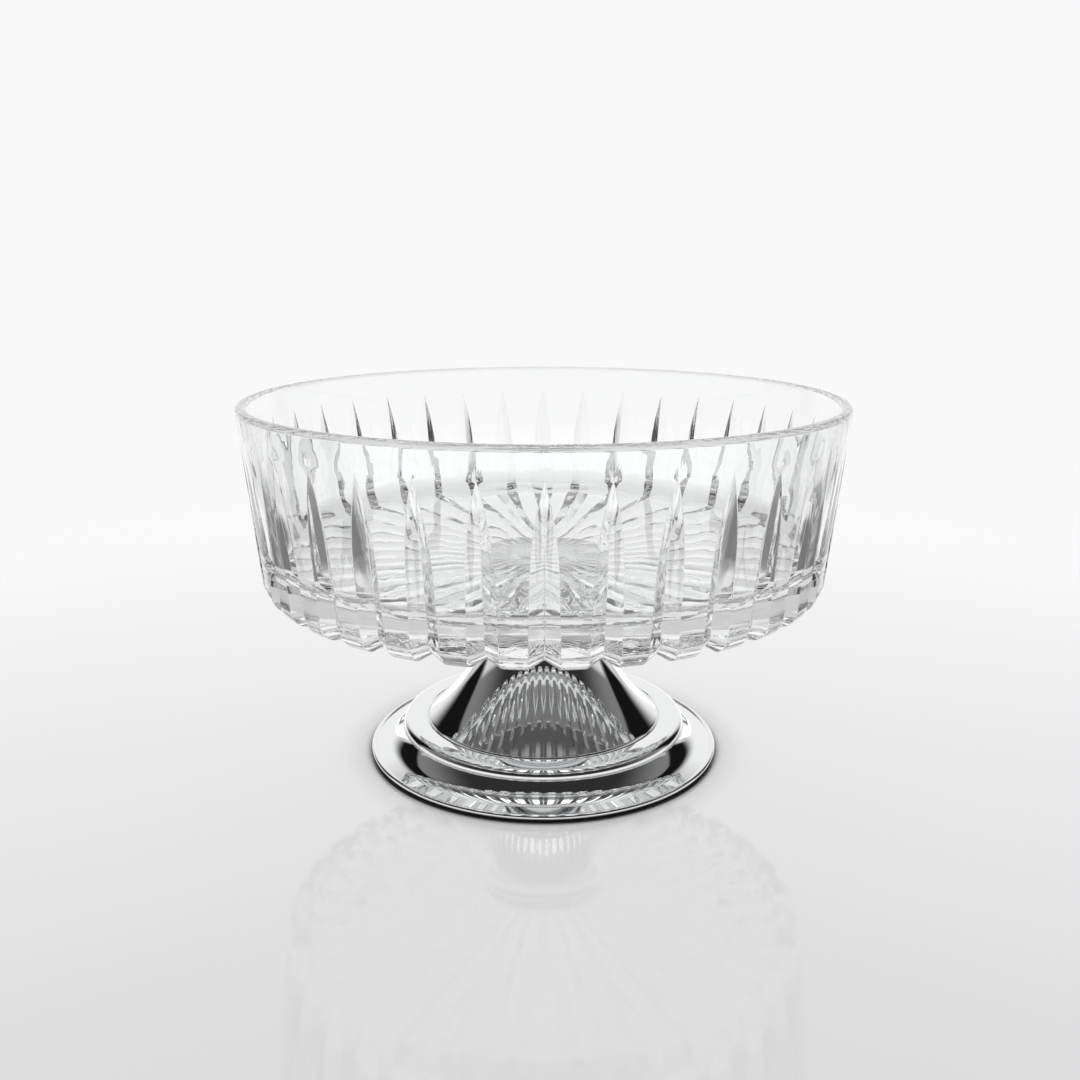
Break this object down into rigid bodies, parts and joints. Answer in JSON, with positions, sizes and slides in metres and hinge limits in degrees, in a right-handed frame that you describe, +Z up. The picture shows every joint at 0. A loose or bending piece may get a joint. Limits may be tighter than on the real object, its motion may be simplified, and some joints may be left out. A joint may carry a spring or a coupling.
{
  "type": "footed bowl",
  "caption": "Round footed bowl in clear cut crystal with upright V flutes and a star-cut underside, bonded to a boss and tied down on a hollow chrome-plated pedestal and base.",
  "frame": {"origin": "on the table, under the centre of the felt, on the axis of the bowl", "axes": "+Z up along the axis of the bowl; -Y towards the viewer of the picture; a flute faces -Y"},
  "size_m": [0.2, 0.2, 0.124],
  "materials": {
    "crystal": "polished colourless lead crystal",
    "adhesive": "clear light-cured adhesive",
    "plating": "mirror-bright plating",
    "zinc_steel": "zinc-plated steel",
    "fibreboard": "plain pressed fibreboard",
    "felt": "charcoal wool felt"
  },
  "bodies": {
    "root": {"crystal_bowl": "crystal", "bond_film": "adhesive", "mounting_boss": "plating", "pedestal_shell": "plating", "base_flange": "plating", "clamp_plate": "zinc_steel", "tie_rod": "zinc_steel", "flat_washer": "zinc_steel", "lock_washer": "zinc_steel", "hex_nut": "zinc_steel", "base_board": "fibreboard", "felt_pad": "felt"}
  },
  "joints": []
}
